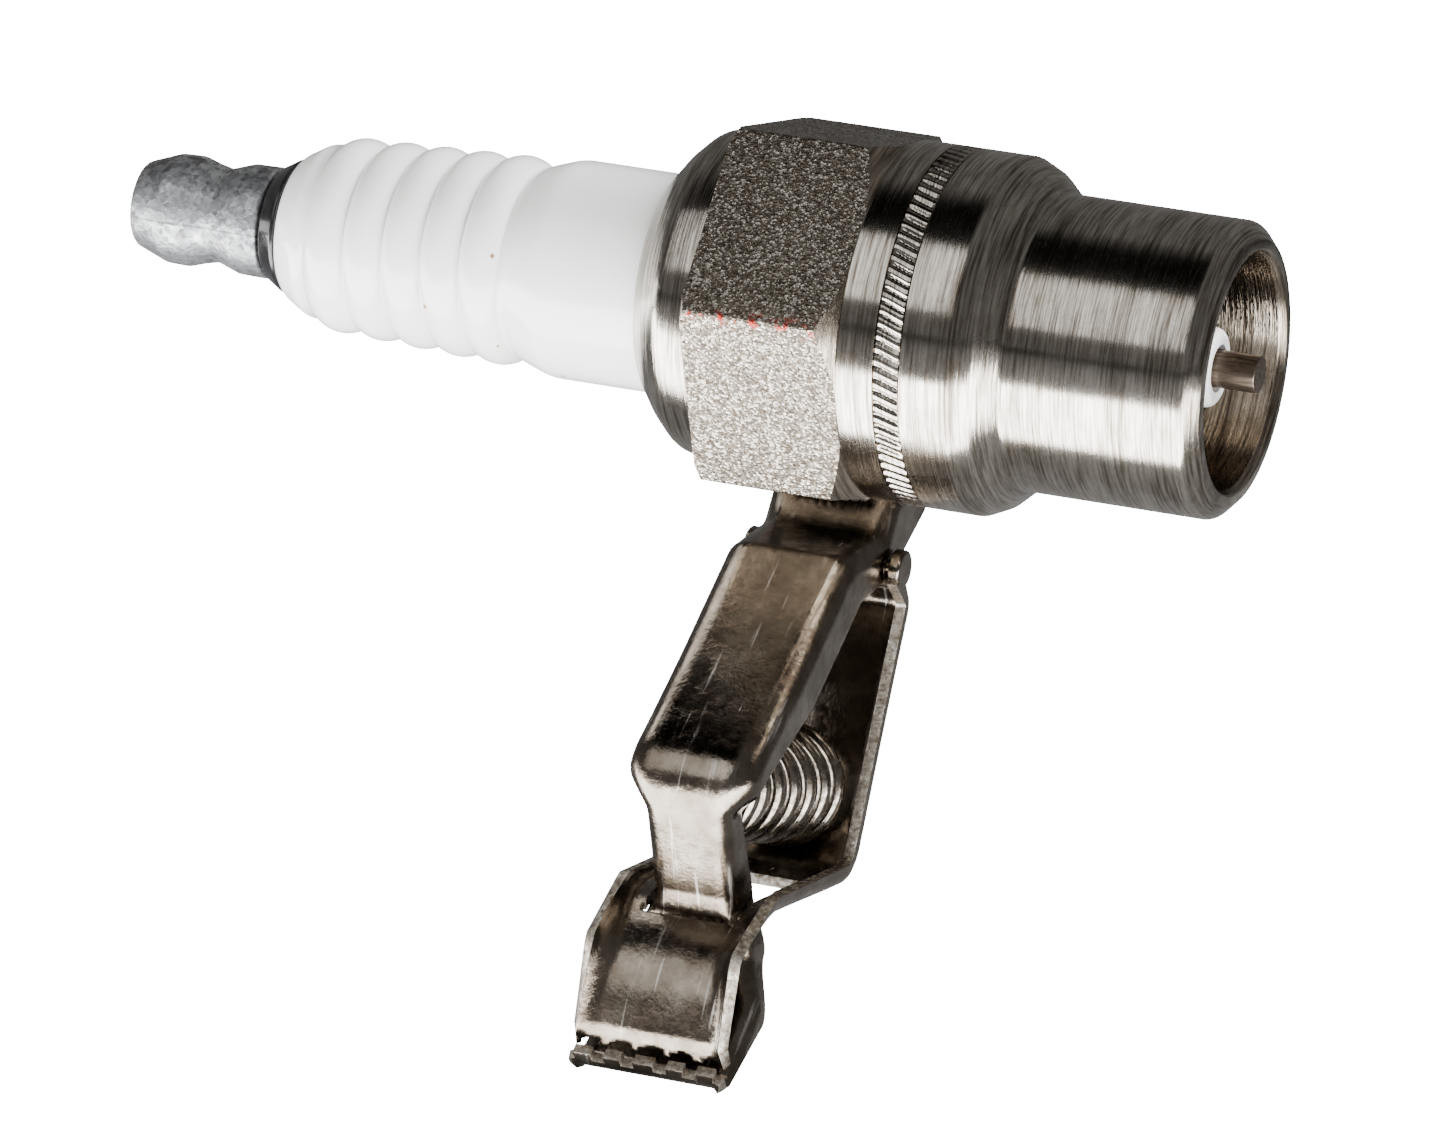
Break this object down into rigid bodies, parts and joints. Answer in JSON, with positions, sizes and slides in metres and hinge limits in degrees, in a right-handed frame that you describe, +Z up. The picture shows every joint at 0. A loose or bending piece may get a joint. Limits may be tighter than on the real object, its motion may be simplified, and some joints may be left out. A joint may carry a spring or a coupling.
{
  "type": "ignition spark tester",
  "caption": "Threadless spark plug body with ribbed insulator, open barrel and centred electrode, and a sprung grounding clip under its hex.",
  "frame": {"origin": "centre of the terminal's flat end face", "axes": "+X along the plug axis from the terminal to the open barrel, +Z up, the clip hangs towards -Z and its jaws lie on the -Y side"},
  "size_m": [0.0705, 0.0285, 0.0546],
  "materials": {
    "terminal_metal": "dull mottled grey cast metal",
    "black_seal": "glossy black sealing ring",
    "white_glaze": "glossy white glaze with fine specks",
    "nickel_plated_steel": "nickel plate, turned with fine rings; blasted hex flats",
    "clip_steel": "nickel-plated stamped spring steel, bright sheared edges",
    "weld_metal": "dull weld metal",
    "electrode_nickel": "brownish grey nickel alloy",
    "copper": "bare copper core",
    "sealing_glass": "fired conductive glass",
    "resistor_glass": "fired carbon and glass",
    "talc": "pressed powder",
    "soft_steel": "plain mild steel",
    "spring_steel": "bright drawn spring wire"
  },
  "bodies": {
    "plug_body": {"terminal_seal_ring": "black_seal", "terminal_stud": "soft_steel", "insulator": "white_glaze", "upper_glass_seal": "sealing_glass", "resistor": "resistor_glass", "lower_glass_seal": "sealing_glass", "centre_electrode": "electrode_nickel", "copper_core": "copper", "shell": "nickel_plated_steel", "seat_gasket": "soft_steel", "lower_packing_ring": "soft_steel", "talc_packing": "talc", "upper_packing_ring": "soft_steel", "clip_front_lever": "clip_steel", "clip_spring": "spring_steel", "clip_weld_left": "weld_metal", "clip_weld_right": "weld_metal", "clip_weld_front": "weld_metal"},
    "terminal": {"terminal_nut": "terminal_metal"},
    "rear_lever": {"clip_rear_lever": "clip_steel"}
  },
  "joints": [
    {"name": "clip_hinge", "type": "hinge", "parent": "plug_body", "child": "rear_lever", "pos_m": [0.0437, 0.0049, -0.0152], "axis": [-1, 0, 0], "range_deg": [0, 15], "stiffness_Nm_per_rad": 0.3, "springref_deg": -22.92, "deforming": ["clip_spring"]},
    {"name": "terminal_turn", "type": "hinge", "parent": "plug_body", "child": "terminal", "pos_m": [0.004, 0, 0], "axis": [-1, 0, 0], "range_deg": [0, 360]}
  ]
}
